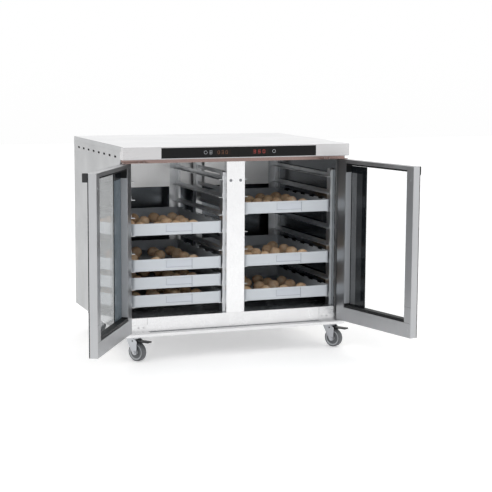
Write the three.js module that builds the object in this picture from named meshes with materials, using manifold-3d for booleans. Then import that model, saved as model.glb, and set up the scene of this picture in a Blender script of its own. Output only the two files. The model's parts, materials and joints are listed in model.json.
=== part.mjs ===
// Two-door proofing cabinet on casters, in millimetres, +Z up, front at -Y.
// It is drawn in the cabinet's own frame (x = 0 at the middle, y = 0 at the front, z = 0 at the floor);
// the last lines move the finished group so that its origin is the bottom centre of its box.
import * as THREE from "three";
import { mergeVertices } from "three/addons/utils/BufferGeometryUtils.js";
import Module from "manifold-3d";

const wasm = await Module();
wasm.setup();

// ---- driving dimensions ----
const WIDTH = 1020; // outside of the side panels
const DEPTH = 830;
const HEIGHT = 910;
const SHEET = 1.5; // sheet steel
const GAP = 0.3; // between pieces that touch
const FRAME_SETBACK = 9; // front frame behind a closed door
const WALL = 44; // insulated side wall
const REAR_WALL = 42; // insulated rear wall

const PAN_INSET = 12; // base pan, inside the side panels
const PAN_CLEARANCE = 45; // base pan's top above the wheels
const PAN_LIP = 12;
const SILL_HEIGHT = 61; // chamber floor above the base pan
const HEADER_HEIGHT = 18; // chamber's top below the fascia
const FASCIA_HEIGHT = 54; // with the worktop's edge
const WORKTOP_THICK = 2;
const WORKTOP_LIP = 18;
const LIP_SETBACK = 27; // the worktop's side lips start behind the fascia's corner
const MULLION_WIDTH = 82;
const MULLION_DEPTH = 28;

const CONTROL_MARGIN = 162; // from the cabinet's side, before the offset
const CONTROL_HEIGHT = 43;
const CONTROL_FOOT = 4; // above the fascia's lower edge
const CONTROL_OFFSET = 3; // strip's middle, right of the cabinet's middle
const CONTROL_GLASS = 3;
const CONTROL_PROUD = 1;
const CONTROL_FIT = 0.5;

const REAR_HEM = 20; // side panel's fold behind
const VENT_COUNT = 8;
const VENT_RADIUS = 4.5; // of a slot's round ends
const VENT_LENGTH = 30;
const VENT_FIRST = 119;
const VENT_LAST = 90.8; // from the rear
const VENT_DROP = 46;

const DOOR_THICK = 36;
const DOOR_FOOT_GAP = 4; // above the base pan
const DOOR_HEAD_GAP = 16; // below the fascia
const DOOR_SIDE_GAP = 2;
const DOOR_MIDDLE_GAP = 4;
const HINGE_STILE = 53;
const FREE_STILE = 42;
const BOTTOM_RAIL = 61;
const TOP_RAIL = 16;
const FRONT_GLASS = 4; // glass sheet over the whole front of the door
const SEAL_SIDE = 4;
const SEAL_BOTTOM = 13;
const SEAL_TOP = 7;
const SEAL_INSET = 3;
const PIVOT_SHIFT = 0.4; // pivot pin outwards and backwards of the middle of the door's thickness
const PIN_RADIUS = 4;
const PIN_CLEARANCE = 0.5;
const PIN_DEPTH = 12; // how far a pin stands into the door
const LEFT_OPEN = 121; // degrees, as modelled
const RIGHT_OPEN = 102.6;
const CAP_HEIGHT = 34;
const CAP_WIDTH = 16;

const BRACKET_THICK = 2.5;
const BRACKET_REACH = 118; // along the sill
const BRACKET_LEG = 30;
const BRACKET_FLANGE = 1.5;

const LEVELS = 8;
const LEVEL_FOOT = 42; // lowest box above the chamber floor
const LEVEL_HEAD = 35; // highest level below the uprights' tops
const RAIL_THICK = 2;
const RAIL_WEB = 16;
const RAIL_LEDGE = 14; // how far a rail reaches under a box
const UPRIGHT_DEPTH = 38;
const UPRIGHT_DROP = 43; // below the chamber's top
const UPRIGHT_ROUND = 10;
const RACK_CLEARANCE = 1; // behind the mullion
const RACK_REACH = 54; // rack's rear, behind the boxes' rear
const REAR_FLANGE = 31; // rear upright's front, turned towards the boxes

const BOX_MULLION_ROOM = 11; // between a box and the line of the mullion's side
const BOX_REAR_ROOM = 118;
const BOX_HEIGHT = 50;
const BOX_WALL = 4;
const BOX_FLOOR = 3.5;
const BOX_ROUND = 16;
const BOX_NOSE = 4; // a box that is pushed in, in front of its rack
const BOX_SIDE_PLAY = 1.7; // between a box and the web of its rail
const BOX_SIDE_ROOM = 14; // between a box and the chamber's side
const NOTCH_COUNT = 5;
const NOTCH_LENGTH = 56;
const NOTCH_DEPTH = 6;
const LABEL_DEPTH = 1.6;
const LABEL_START = 0.37; // of the box's width
const LABEL_END = 0.66;
const LABEL_FOOT = 14;
const LEFT_LEVELS = [0, 1, 2, 4];
const RIGHT_LEVELS = [0, 2, 5];

const HOOD_DEPTH = 88;
const HOOD_HEIGHT = 163;
const HOOD_MARGIN = 54; // from the chamber's side
const HOOD_NOTCH_HALF = 86;
const HOOD_NOTCH_DEPTH = 45;
const FAN_RADIUS = 58;
const FAN_BLADES = 5;
const FAN_DEPTH = 22;
const HUB_RADIUS = 18;
const HEATER_TUBE = 4;
const HEATER_LOOPS = 4;
const HEATER_PITCH = 26;
const HEATER_MARGIN = 48; // within its half of the hood
const TRAY_WIDTH = 320;
const TRAY_DEPTH = 56;
const TRAY_HEIGHT = 28;

const WHEEL_RADIUS = 40;
const WHEEL_WIDTH = 28;
const HUB_WIDTH = 32;
const AXLE_RADIUS = 4;
const FORK_GAP = 38; // between the fork's legs
const FORK_SHEET = 3;
const CASTER_TRAIL = 38; // wheel's axle from the swivel axis
const CASTER_HEADING = -56; // degrees: where the wheels trail to
const CASTER_SIDE = 55; // swivel axis from the cabinet's side
const CASTER_FRONT = 95;
const CASTER_REAR = 85; // swivel axis from the rear
const PLATE_SIZE = 76;
const PLATE_THICK = 3;
const BEARING_HEIGHT = 10;
const BEARING_RADIUS = 25;
const PEDAL_LENGTH = 82;
const PEDAL_WIDTH = 30;
const PEDAL_PIN_X = 28; // pedal's pin from the swivel axis
const PEDAL_PIN_RADIUS = 3.5;

// ---- sizes worked out from them ----
const HALF = WIDTH / 2;
const PANEL_OUT = HALF; // side panel's outer face
const OPENING_HALF = HALF - WALL; // inner face of the chamber's side
const DOOR_RECESS = DOOR_THICK + FRAME_SETBACK;
const REAR_IN = DEPTH - REAR_WALL; // inner face of the chamber's rear
const LIP_BOTTOM = HEIGHT - WORKTOP_THICK - WORKTOP_LIP;
const PANEL_TOP = LIP_BOTTOM - GAP;
const PAN_TOP = 2 * WHEEL_RADIUS + PAN_CLEARANCE;
const PANEL_BOTTOM = PAN_TOP + GAP;
const SILL_TOP = PAN_TOP + SILL_HEIGHT;
const FASCIA_BOTTOM = HEIGHT - FASCIA_HEIGHT;
const CHAMBER_TOP = FASCIA_BOTTOM - HEADER_HEIGHT;
const CONTROL_WIDTH = WIDTH - 2 * CONTROL_MARGIN;
const CONTROL_BOTTOM = FASCIA_BOTTOM + CONTROL_FOOT;
const VENT_Z = HEIGHT - VENT_DROP;
const VENT_PITCH = (DEPTH - VENT_FIRST - VENT_LAST) / (VENT_COUNT - 1);
const DOOR_BOTTOM = PAN_TOP + DOOR_FOOT_GAP;
const DOOR_TOP = FASCIA_BOTTOM - DOOR_HEAD_GAP;
const PIVOT_INSET = DOOR_THICK / 2 - PIVOT_SHIFT; // pivot pin from the cabinet's side
const PIVOT_DEPTH = DOOR_THICK / 2 + PIVOT_SHIFT; // pivot pin behind the door's front face
const UPRIGHT_TOP = CHAMBER_TOP - UPRIGHT_DROP;
const FIRST_LEVEL = SILL_TOP + LEVEL_FOOT; // underside of the lowest box
const LEVEL_PITCH = (UPRIGHT_TOP - LEVEL_HEAD - FIRST_LEVEL) / (LEVELS - 1);
const DOOR_WIDTH = HALF - DOOR_SIDE_GAP - DOOR_MIDDLE_GAP / 2;
const BOX_OUTER = OPENING_HALF - BOX_SIDE_ROOM; // box's side nearest the cabinet's side
const BOX_INNER = MULLION_WIDTH / 2 + BOX_MULLION_ROOM;
const BOX_WIDTH = BOX_OUTER - BOX_INNER;
const RACK_FRONT = DOOR_RECESS + MULLION_DEPTH + RACK_CLEARANCE;
const BOX_FRONT = RACK_FRONT - BOX_NOSE;
const BOX_REAR = REAR_IN - BOX_REAR_ROOM;
const BOX_DEPTH = BOX_REAR - BOX_FRONT;
const HOOD_FRONT = REAR_IN - HOOD_DEPTH;
const HOOD_NOTCH_FRONT = HOOD_FRONT + HOOD_NOTCH_DEPTH;
const HOOD_BOTTOM = CHAMBER_TOP - HOOD_HEIGHT;
const HOOD_HALF = OPENING_HALF - HOOD_MARGIN;
const FAN_X = -(HOOD_HALF + HOOD_NOTCH_HALF) / 2;
const HEATER_RUN = HOOD_HALF - HOOD_NOTCH_HALF - 2 * HEATER_MARGIN;
const CASTER_X = HALF - CASTER_SIDE;
const PLATE_TOP = PAN_TOP - SHEET - GAP;
const BEARING_BOTTOM = PLATE_TOP - PLATE_THICK - BEARING_HEIGHT;
const FORK_TOP = BEARING_BOTTOM - GAP;
const PEDAL_PIN_Z = 2 * WHEEL_RADIUS + 7.5;

// ---- materials ----
function finish(colour, roughness, metalness) {
  return new THREE.MeshStandardMaterial({ color: colour, roughness, metalness });
}
const STEEL = finish(0xc8c9ca, 0.32, 1);
const BRIGHT_STEEL = finish(0xe2e3e4, 0.25, 1);
const CHAMBER_STEEL = finish(0x9a9da0, 0.22, 1);
const ZINC = finish(0xb8bcc0, 0.35, 1);
const ALUMINIUM = finish(0xd0d2d4, 0.3, 1);
const BLACK_GLASS = finish(0x141516, 0.08, 0);
const DOOR_GLASS = finish(0xbcc8cc, 0.05, 0);
const BLACK_PLASTIC = finish(0x17181a, 0.5, 0);
const BOX_PLASTIC = finish(0xb9c1cb, 0.45, 0);
const SEAL_RUBBER = finish(0x101112, 0.7, 0);
const TREAD = finish(0x55585b, 0.6, 0);
const FOAM = finish(0xd9cfa8, 0.9, 0);
const BOARD = finish(0x1f5a3a, 0.6, 0);

// ---- solids ----
function solidOf(geometry) {
  const bare = geometry.clone();
  bare.deleteAttribute("normal");
  bare.deleteAttribute("uv");
  const merged = mergeVertices(bare, 1e-4);
  const vertProperties = new Float32Array(merged.attributes.position.array);
  const triVerts = new Uint32Array(merged.index.array);
  return new wasm.Manifold(new wasm.Mesh({ numProp: 3, vertProperties, triVerts }));
}

function geometryOf(solid) {
  const mesh = solid.getMesh();
  const geometry = new THREE.BufferGeometry();
  geometry.setAttribute("position", new THREE.BufferAttribute(mesh.vertProperties, 3));
  geometry.setIndex(new THREE.BufferAttribute(mesh.triVerts, 1));
  return geometry;
}

// Moves each point of a unit-thick geometry onto one of two planes, so that faces that
// should be level with a neighbour's are exactly level.
function snap(geometry, axis, low, high) {
  const points = geometry.attributes.position;
  for (let i = 0; i < points.count; i++) {
    points.setComponent(i, axis, points.getComponent(i, axis) > 0.5 ? high : low);
  }
  return geometry;
}

// A box between two corners.
function block(x0, x1, y0, y1, z0, z1) {
  const geometry = new THREE.BoxGeometry(1, 1, 1);
  geometry.translate(0.5, 0.5, 0.5);
  snap(geometry, 0, x0, x1);
  snap(geometry, 1, y0, y1);
  snap(geometry, 2, z0, z1);
  return solidOf(geometry);
}

// The same box on the left (side -1) or on the right (side 1), from distances off the middle.
function sideBlock(side, near, far, y0, y1, z0, z1) {
  return block(Math.min(side * near, side * far), Math.max(side * near, side * far), y0, y1, z0, z1);
}

function rodX(x0, x1, y, z, radius, sides) {
  const geometry = new THREE.CylinderGeometry(radius, radius, x1 - x0, sides);
  geometry.rotateZ(Math.PI / 2);
  geometry.translate((x0 + x1) / 2, y, z);
  return solidOf(geometry);
}

function rodY(x, y0, y1, z, radius, sides) {
  const geometry = new THREE.CylinderGeometry(radius, radius, y1 - y0, sides);
  geometry.translate(x, (y0 + y1) / 2, z);
  return solidOf(geometry);
}

function rodZ(x, y, z0, z1, radius, sides) {
  const geometry = new THREE.CylinderGeometry(radius, radius, z1 - z0, sides);
  geometry.rotateX(Math.PI / 2);
  geometry.translate(x, y, (z0 + z1) / 2);
  return solidOf(geometry);
}

function joined(...solids) {
  return solids.reduce((sum, solid) => sum.add(solid));
}

function polygon(points) {
  return new THREE.Shape(points.map(([a, b]) => new THREE.Vector2(a, b)));
}

// A shape of x and y drawn out from z0 to z1.
function alongZ(shape, z0, z1, steps = 4) {
  const options = { depth: 1, bevelEnabled: false, curveSegments: steps };
  return solidOf(snap(new THREE.ExtrudeGeometry(shape, options), 2, z0, z1));
}

// A shape of y and z drawn out from x0 to x1.
function alongX(shape, x0, x1, steps = 4) {
  const options = { depth: 1, bevelEnabled: false, curveSegments: steps };
  const geometry = new THREE.ExtrudeGeometry(shape, options);
  geometry.rotateX(Math.PI / 2);
  geometry.rotateZ(Math.PI / 2);
  return solidOf(snap(geometry, 0, Math.min(x0, x1), Math.max(x0, x1)));
}

// A shape of x and z drawn out from y0 to y1.
function alongY(shape, y0, y1, steps = 4) {
  const options = { depth: 1, bevelEnabled: false, curveSegments: steps };
  const geometry = new THREE.ExtrudeGeometry(shape, options);
  geometry.rotateX(Math.PI / 2);
  geometry.translate(0, 1, 0);
  return solidOf(snap(geometry, 1, y0, y1));
}

// A rectangle with round corners, drawn out from z0 to z1.
function roundedBlock(x0, x1, y0, y1, z0, z1, radius, steps) {
  const shape = new THREE.Shape();
  shape.moveTo(x0 + radius, y0);
  shape.lineTo(x1 - radius, y0);
  shape.absarc(x1 - radius, y0 + radius, radius, -Math.PI / 2, 0);
  shape.lineTo(x1, y1 - radius);
  shape.absarc(x1 - radius, y1 - radius, radius, 0, Math.PI / 2);
  shape.lineTo(x0 + radius, y1);
  shape.absarc(x0 + radius, y1 - radius, radius, Math.PI / 2, Math.PI);
  shape.lineTo(x0, y0 + radius);
  shape.absarc(x0 + radius, y0 + radius, radius, Math.PI, 1.5 * Math.PI);
  return alongZ(shape, z0, z1, steps);
}

const cabinet = new THREE.Group();

function place(name, solid, material, parent = cabinet) {
  const mesh = new THREE.Mesh(geometryOf(solid), material);
  mesh.name = name;
  parent.add(mesh);
  return mesh;
}

// ---- outer casing ----
function worktop() {
  const lipTop = HEIGHT - WORKTOP_THICK;
  const lipRear = DEPTH - SHEET;
  return joined(
    block(-HALF, HALF, 0, DEPTH, lipTop, HEIGHT),
    block(-HALF, -HALF + SHEET, LIP_SETBACK, lipRear, LIP_BOTTOM, lipTop),
    block(HALF - SHEET, HALF, LIP_SETBACK, lipRear, LIP_BOTTOM, lipTop),
    block(-HALF, HALF, lipRear, DEPTH, LIP_BOTTOM, lipTop),
  );
}

function controlBox(grow, y0, y1) {
  const middle = CONTROL_OFFSET;
  return block(
    middle - CONTROL_WIDTH / 2 - grow,
    middle + CONTROL_WIDTH / 2 + grow,
    y0,
    y1,
    CONTROL_BOTTOM - grow,
    CONTROL_BOTTOM + CONTROL_HEIGHT + grow,
  );
}

function fascia() {
  const low = FASCIA_BOTTOM;
  const top = HEIGHT - WORKTOP_THICK - GAP;
  const rear = DOOR_RECESS - GAP;
  const corner = LIP_SETBACK - GAP;
  const channel = polygon([[0, low], [rear, low], [rear, low + SHEET], [SHEET, low + SHEET], [SHEET, top], [0, top]]);
  const cheek = polygon([[0, low], [rear, low], [rear, PANEL_TOP], [corner, PANEL_TOP], [corner, top], [0, top]]);
  return joined(
    alongX(channel, -HALF + SHEET, HALF - SHEET),
    alongX(cheek, -HALF, -HALF + SHEET),
    alongX(cheek, HALF - SHEET, HALF),
  ).subtract(controlBox(CONTROL_FIT, -1, SHEET + 1));
}

function controlBoard() {
  const front = CONTROL_GLASS - CONTROL_PROUD + GAP;
  const low = CONTROL_BOTTOM + 6;
  const board = block(-180, 190, front + 6, front + 8, low, low + 30);
  const parts = [-150, -74, 92, 156].map((x) => block(x - 14, x + 14, front, front + 6, low + 6, low + 24));
  return joined(board, ...parts);
}

// An upright plane's slot with round ends, its length along Y.
function slotShape(y, z, length, radius) {
  const half = length / 2 - radius;
  const shape = new THREE.Shape();
  shape.moveTo(y - half, z - radius);
  shape.lineTo(y + half, z - radius);
  shape.absarc(y + half, z, radius, -Math.PI / 2, Math.PI / 2);
  shape.lineTo(y - half, z + radius);
  shape.absarc(y - half, z, radius, Math.PI / 2, 1.5 * Math.PI);
  return shape;
}

function vents(side) {
  const holes = Array.from({ length: VENT_COUNT }, (_, k) => {
    const y = VENT_FIRST + k * VENT_PITCH;
    const near = side * (PANEL_OUT - 3 * SHEET);
    const far = side * (PANEL_OUT + SHEET);
    return alongX(slotShape(y, VENT_Z, VENT_LENGTH, VENT_RADIUS), near, far);
  });
  return joined(...holes);
}

function sidePanel(side) {
  const front = DOOR_RECESS;
  const rear = DEPTH - SHEET - GAP;
  const flange = side * (OPENING_HALF + SHEET + GAP);
  const skin = side * PANEL_OUT;
  const inside = side * (PANEL_OUT - SHEET);
  const hem = side * (PANEL_OUT - REAR_HEM);
  const channel = polygon([
    [skin, front], [flange, front], [flange, front + SHEET], [inside, front + SHEET],
    [inside, rear - SHEET], [hem, rear - SHEET], [hem, rear], [skin, rear],
  ]);
  return alongZ(channel, PANEL_BOTTOM, PANEL_TOP).subtract(vents(side));
}

function insulation(side) {
  const front = DOOR_RECESS + SHEET + GAP;
  const rear = REAR_IN;
  const near = OPENING_HALF + SHEET + GAP;
  const far = PANEL_OUT - SHEET - GAP;
  return sideBlock(side, near, far, front, rear, PANEL_BOTTOM + GAP, CHAMBER_TOP);
}

const INLET_X = HALF - 130;
const INLET_Z = PAN_TOP + 35;
const INLET_RADIUS = 13;

function rearPanel() {
  const hole = rodY(INLET_X, DEPTH - 2 * SHEET, DEPTH + 1, INLET_Z, INLET_RADIUS + GAP, 20);
  return block(-HALF, HALF, DEPTH - SHEET, DEPTH, PANEL_BOTTOM, PANEL_TOP).subtract(hole);
}

// Blind cable gland of the mains inlet: a barrel through the rear panel with a collar inside it.
function powerInlet() {
  return joined(
    rodY(INLET_X, DEPTH - 16, DEPTH, INLET_Z, INLET_RADIUS, 20),
    rodY(INLET_X, DEPTH - 12, DEPTH - SHEET - GAP, INLET_Z, INLET_RADIUS + 5, 20),
  ).subtract(rodY(INLET_X, DEPTH - 10, DEPTH + 1, INLET_Z, INLET_RADIUS - 6, 20));
}

function basePan() {
  const half = HALF - PAN_INSET;
  const rear = DEPTH - PAN_INSET;
  const foot = PAN_TOP - PAN_LIP;
  const inner = block(-half + SHEET, half - SHEET, SHEET, rear - SHEET, foot - 1, PAN_TOP - SHEET);
  return block(-half, half, 0, rear, foot, PAN_TOP).subtract(inner);
}

// ---- chamber ----
function floorPan() {
  const front = DOOR_RECESS;
  const rear = REAR_IN - GAP;
  const low = SILL_TOP - SHEET;
  const angle = polygon([
    [front, PANEL_BOTTOM], [front + SHEET, PANEL_BOTTOM], [front + SHEET, low],
    [rear, low], [rear, SILL_TOP], [front, SILL_TOP],
  ]);
  return alongX(angle, -OPENING_HALF + GAP, OPENING_HALF - GAP);
}

function linerSide(side) {
  return sideBlock(
    side, OPENING_HALF, OPENING_HALF + SHEET, DOOR_RECESS, REAR_IN - GAP, PANEL_BOTTOM, CHAMBER_TOP + SHEET,
  );
}

function linerRear() {
  const half = OPENING_HALF + SHEET;
  return block(-half, half, REAR_IN, REAR_IN + SHEET, PANEL_BOTTOM, CHAMBER_TOP + SHEET);
}

const HEADER_RETURN = 26;

function headerRail() {
  const front = DOOR_RECESS;
  const rear = front + HEADER_RETURN;
  const high = CHAMBER_TOP + SHEET;
  const angle = polygon([
    [front, CHAMBER_TOP], [rear, CHAMBER_TOP], [rear, high],
    [front + SHEET, high], [front + SHEET, PANEL_TOP], [front, PANEL_TOP],
  ]);
  return alongX(angle, -OPENING_HALF + GAP, OPENING_HALF - GAP);
}

function linerRoof() {
  const half = OPENING_HALF - GAP;
  const front = DOOR_RECESS + HEADER_RETURN + GAP;
  return block(-half, half, front, REAR_IN - GAP, CHAMBER_TOP, CHAMBER_TOP + SHEET);
}

function mullion() {
  const half = MULLION_WIDTH / 2;
  const low = SILL_TOP + GAP;
  const high = CHAMBER_TOP - GAP;
  const rear = DOOR_RECESS + MULLION_DEPTH;
  const hollow = block(-half + SHEET, half - SHEET, DOOR_RECESS + SHEET, rear + 1, low - 1, high + 1);
  return block(-half, half, DOOR_RECESS, rear, low, high).subtract(hollow);
}

// ---- air system behind the boxes ----
function hood() {
  const rear = REAR_IN - GAP;
  const fold = (half, notchHalf, front, notchFront) => [
    [-half, rear], [-half, front], [-notchHalf, front], [-notchHalf, notchFront],
    [notchHalf, notchFront], [notchHalf, front], [half, front], [half, rear],
  ];
  const outside = fold(HOOD_HALF, HOOD_NOTCH_HALF, HOOD_FRONT, HOOD_NOTCH_FRONT);
  const inside = fold(
    HOOD_HALF - SHEET, HOOD_NOTCH_HALF + SHEET, HOOD_FRONT + SHEET, HOOD_NOTCH_FRONT + SHEET,
  );
  return alongZ(polygon([...outside, ...inside.reverse()]), HOOD_BOTTOM, CHAMBER_TOP - GAP);
}

const FAN_Z = (HOOD_BOTTOM + CHAMBER_TOP) / 2;
const MOTOR_FRONT = REAR_IN - GAP - 24;

function fanMotor() {
  return joined(
    rodY(FAN_X, MOTOR_FRONT, REAR_IN - GAP, FAN_Z, HUB_RADIUS + 8, 24),
    rodY(FAN_X, MOTOR_FRONT - FAN_DEPTH - 3, MOTOR_FRONT, FAN_Z, AXLE_RADIUS, 16),
  );
}

function fanRotor() {
  const front = MOTOR_FRONT - FAN_DEPTH - 1;
  const rear = front + FAN_DEPTH;
  const blades = Array.from({ length: FAN_BLADES }, (_, k) => {
    const blade = new THREE.BoxGeometry(FAN_RADIUS - HUB_RADIUS + 4, FAN_DEPTH, 3);
    blade.rotateX(0.6);
    blade.translate((FAN_RADIUS + HUB_RADIUS - 4) / 2, 0, 0);
    blade.rotateY((k * 2 * Math.PI) / FAN_BLADES);
    blade.translate(FAN_X, (front + rear) / 2, FAN_Z);
    return solidOf(blade);
  });
  const bore = rodY(FAN_X, front - 1, rear + 1, FAN_Z, AXLE_RADIUS + 0.5, 16);
  return joined(rodY(FAN_X, front, rear, FAN_Z, HUB_RADIUS, 24), ...blades).subtract(bore);
}

// One heating tube, bent to and fro and back out at its two ends.
function heater() {
  const x0 = -FAN_X - HEATER_RUN / 2;
  const x1 = x0 + HEATER_RUN;
  const y = (HOOD_FRONT + REAR_IN) / 2;
  const zAt = (k) => FAN_Z + (k - (HEATER_LOOPS - 1) / 2) * HEATER_PITCH;
  const runs = Array.from({ length: HEATER_LOOPS }, (_, k) => rodX(x0, x1, y, zAt(k), HEATER_TUBE, 12));
  const bends = Array.from({ length: HEATER_LOOPS - 1 }, (_, k) => {
    const x = k % 2 ? x0 : x1;
    return rodZ(x, y, zAt(k) - HEATER_TUBE, zAt(k + 1) + HEATER_TUBE, HEATER_TUBE, 12);
  });
  const ends = [0, HEATER_LOOPS - 1].map((k) => rodY(x0, y - HEATER_TUBE, REAR_IN - GAP, zAt(k), HEATER_TUBE, 12));
  return joined(...runs, ...bends, ...ends);
}

function waterTray() {
  const rear = REAR_IN - 6;
  const low = SILL_TOP + GAP;
  const half = TRAY_WIDTH / 2;
  const inner = block(-half + SHEET, half - SHEET, rear - TRAY_DEPTH + SHEET, rear - SHEET, low + SHEET, low + 99);
  return block(-half, half, rear - TRAY_DEPTH, rear, low, low + TRAY_HEIGHT).subtract(inner);
}

// ---- racks ----
function uprightShape(y0, y1) {
  const shape = new THREE.Shape();
  const low = SILL_TOP + GAP;
  const shoulder = UPRIGHT_TOP - UPRIGHT_ROUND;
  shape.moveTo(y0, low);
  shape.lineTo(y1, low);
  shape.lineTo(y1, shoulder);
  shape.absarc(y1 - UPRIGHT_ROUND, shoulder, UPRIGHT_ROUND, 0, Math.PI / 2);
  shape.lineTo(y0 + UPRIGHT_ROUND, UPRIGHT_TOP);
  shape.absarc(y0 + UPRIGHT_ROUND, shoulder, UPRIGHT_ROUND, Math.PI / 2, Math.PI);
  return shape;
}

// One ladder of angle rails on two uprights, off the cabinet's middle on the given side.
// face is the rails' upright face, next to the boxes, and away is 1 or -1, from the boxes to the uprights.
function rack(side, face, away) {
  const web = face + away * RAIL_THICK;
  const back = face + away * (BOX_SIDE_ROOM - BOX_SIDE_PLAY - GAP);
  const ledge = face - away * (RAIL_LEDGE + BOX_SIDE_PLAY);
  const rear = BOX_REAR + RACK_REACH;
  const uprights = [RACK_FRONT, rear - UPRIGHT_DEPTH].map((y) =>
    alongX(uprightShape(y, y + UPRIGHT_DEPTH), side * web, side * back),
  );
  const rails = Array.from({ length: LEVELS }, (_, k) => {
    const z = FIRST_LEVEL + k * LEVEL_PITCH - GAP;
    const foot = z - RAIL_THICK;
    const angle = polygon([
      [side * ledge, foot], [side * web, foot], [side * web, z + RAIL_WEB],
      [side * face, z + RAIL_WEB], [side * face, z], [side * ledge, z],
    ]);
    return alongY(angle, RACK_FRONT, rear);
  });
  const stop = face - away * REAR_FLANGE;
  const flange = block(
    Math.min(side * web, side * stop), Math.max(side * web, side * stop),
    rear - RAIL_THICK, rear, SILL_TOP + GAP, UPRIGHT_TOP,
  );
  return joined(...uprights, ...rails, flange);
}

// ---- dough boxes ----
function boxRimNotches(x0, x1, y0, top) {
  const pitch = BOX_DEPTH / (NOTCH_COUNT + 1);
  const notches = Array.from({ length: NOTCH_COUNT }, (_, k) => {
    const y = y0 + (k + 1) * pitch;
    const low = top - NOTCH_DEPTH;
    return block(x0 - 1, x1 + 1, y - NOTCH_LENGTH / 2, y + NOTCH_LENGTH / 2, low, top + 1);
  });
  return joined(...notches);
}

function doughBox(side, level) {
  const x0 = side < 0 ? -BOX_OUTER : BOX_INNER;
  const x1 = x0 + BOX_WIDTH;
  const y0 = BOX_FRONT;
  const y1 = BOX_REAR;
  const z0 = FIRST_LEVEL + level * LEVEL_PITCH;
  const top = z0 + BOX_HEIGHT;
  const wall = BOX_WALL;
  const inner = roundedBlock(
    x0 + wall, x1 - wall, y0 + wall, y1 - wall, z0 + BOX_FLOOR, top + 1, BOX_ROUND - wall, 4,
  );
  const label = block(
    x0 + LABEL_START * BOX_WIDTH, x0 + LABEL_END * BOX_WIDTH, y0 - 1, y0 + LABEL_DEPTH, z0 + LABEL_FOOT, top + 1,
  );
  return roundedBlock(x0, x1, y0, y1, z0, top, BOX_ROUND, 4)
    .subtract(inner)
    .subtract(label)
    .subtract(boxRimNotches(x0, x1, y0, top));
}

// ---- doors ----
// A door is drawn closed, on the left, from s across its width, d behind its front face and z;
// the right door is its mirror image.
function doorBlock(side, s0, s1, d0, d1, z0, z1) {
  return sideBlock(side, HALF - DOOR_SIDE_GAP - s0, HALF - DOOR_SIDE_GAP - s1, d0, d1, z0, z1);
}

const WINDOW = {
  s0: HINGE_STILE,
  s1: DOOR_WIDTH - FREE_STILE,
  z0: DOOR_BOTTOM + BOTTOM_RAIL,
  z1: DOOR_TOP - TOP_RAIL,
};

function pinHoles(side) {
  const x = side * (HALF - PIVOT_INSET);
  const radius = PIN_RADIUS + PIN_CLEARANCE;
  const deep = PIN_DEPTH + PIN_CLEARANCE;
  return joined(
    rodZ(x, PIVOT_DEPTH, DOOR_BOTTOM - 1, DOOR_BOTTOM + deep, radius, 16),
    rodZ(x, PIVOT_DEPTH, DOOR_TOP - deep, DOOR_TOP + 1, radius, 16),
  );
}

function doorFrame(side) {
  const w = WINDOW;
  const front = FRONT_GLASS + GAP;
  return doorBlock(side, 0, DOOR_WIDTH, front, DOOR_THICK, DOOR_BOTTOM, DOOR_TOP)
    .subtract(doorBlock(side, w.s0, w.s1, -1, DOOR_THICK + 1, w.z0, w.z1))
    .subtract(pinHoles(side));
}

function doorGlass(side) {
  return doorBlock(side, 0, DOOR_WIDTH, 0, FRONT_GLASS, DOOR_BOTTOM, DOOR_TOP);
}

function doorSeal(side) {
  const w = WINDOW;
  const d0 = FRONT_GLASS + GAP;
  const d1 = DOOR_THICK - SEAL_INSET;
  const ring = doorBlock(side, w.s0 + GAP, w.s1 - GAP, d0, d1, w.z0 + GAP, w.z1 - GAP);
  const hole = doorBlock(
    side, w.s0 + SEAL_SIDE, w.s1 - SEAL_SIDE, d0 - 1, d1 + 1, w.z0 + SEAL_BOTTOM, w.z1 - SEAL_TOP,
  );
  return ring.subtract(hole);
}

function doorCap(side, proud) {
  return doorBlock(
    side, DOOR_WIDTH - CAP_WIDTH, DOOR_WIDTH, -GAP - proud, -GAP, DOOR_TOP - CAP_HEIGHT, DOOR_TOP,
  );
}

// Angle bracket with the pivot pin: low on the sill, or high under the fascia.
function hingeBracket(side, high) {
  const wall = DOOR_RECESS - GAP;
  const clear = wall - BRACKET_FLANGE;
  const inner = HALF - BRACKET_REACH;
  const outer = HALF - 4;
  const z = high ? DOOR_TOP + 1.2 : PAN_TOP + GAP;
  const tip = high ? z - 1.2 - PIN_DEPTH : DOOR_BOTTOM + PIN_DEPTH;
  const plateTop = z + BRACKET_THICK;
  const legTop = high ? FASCIA_BOTTOM - GAP : z + BRACKET_LEG;
  return joined(
    sideBlock(side, inner, outer, PIVOT_DEPTH - 12, wall, z, plateTop),
    sideBlock(side, inner, outer, clear, wall, z, legTop),
    rodZ(side * (HALF - PIVOT_INSET), PIVOT_DEPTH, Math.min(z, tip), Math.max(plateTop, tip), PIN_RADIUS, 16),
  );
}

function hangDoor(name, side, openDegrees, capProud) {
  const hinge = new THREE.Group();
  const x = side * (HALF - PIVOT_INSET);
  hinge.position.set(x, PIVOT_DEPTH, 0);
  hinge.rotation.z = THREE.MathUtils.degToRad(side * openDegrees);
  const door = new THREE.Group();
  door.position.set(-x, -PIVOT_DEPTH, 0);
  hinge.add(door);
  cabinet.add(hinge);
  place(`${name}_frame`, doorFrame(side), BRIGHT_STEEL, door);
  place(`${name}_glass`, doorGlass(side), DOOR_GLASS, door);
  place(`${name}_seal`, doorSeal(side), SEAL_RUBBER, door);
  place(`${name}_corner_cap`, doorCap(side, capProud), BLACK_PLASTIC, door);
}

// ---- casters, drawn with the wheel trailing along +X from the swivel axis at x = y = 0 ----
function casterPlate() {
  const half = PLATE_SIZE / 2;
  const low = PLATE_TOP - PLATE_THICK;
  return joined(
    roundedBlock(-half, half, -half, half, low, PLATE_TOP, 8, 4),
    rodZ(0, 0, BEARING_BOTTOM, low, BEARING_RADIUS, 28),
  );
}

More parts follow.
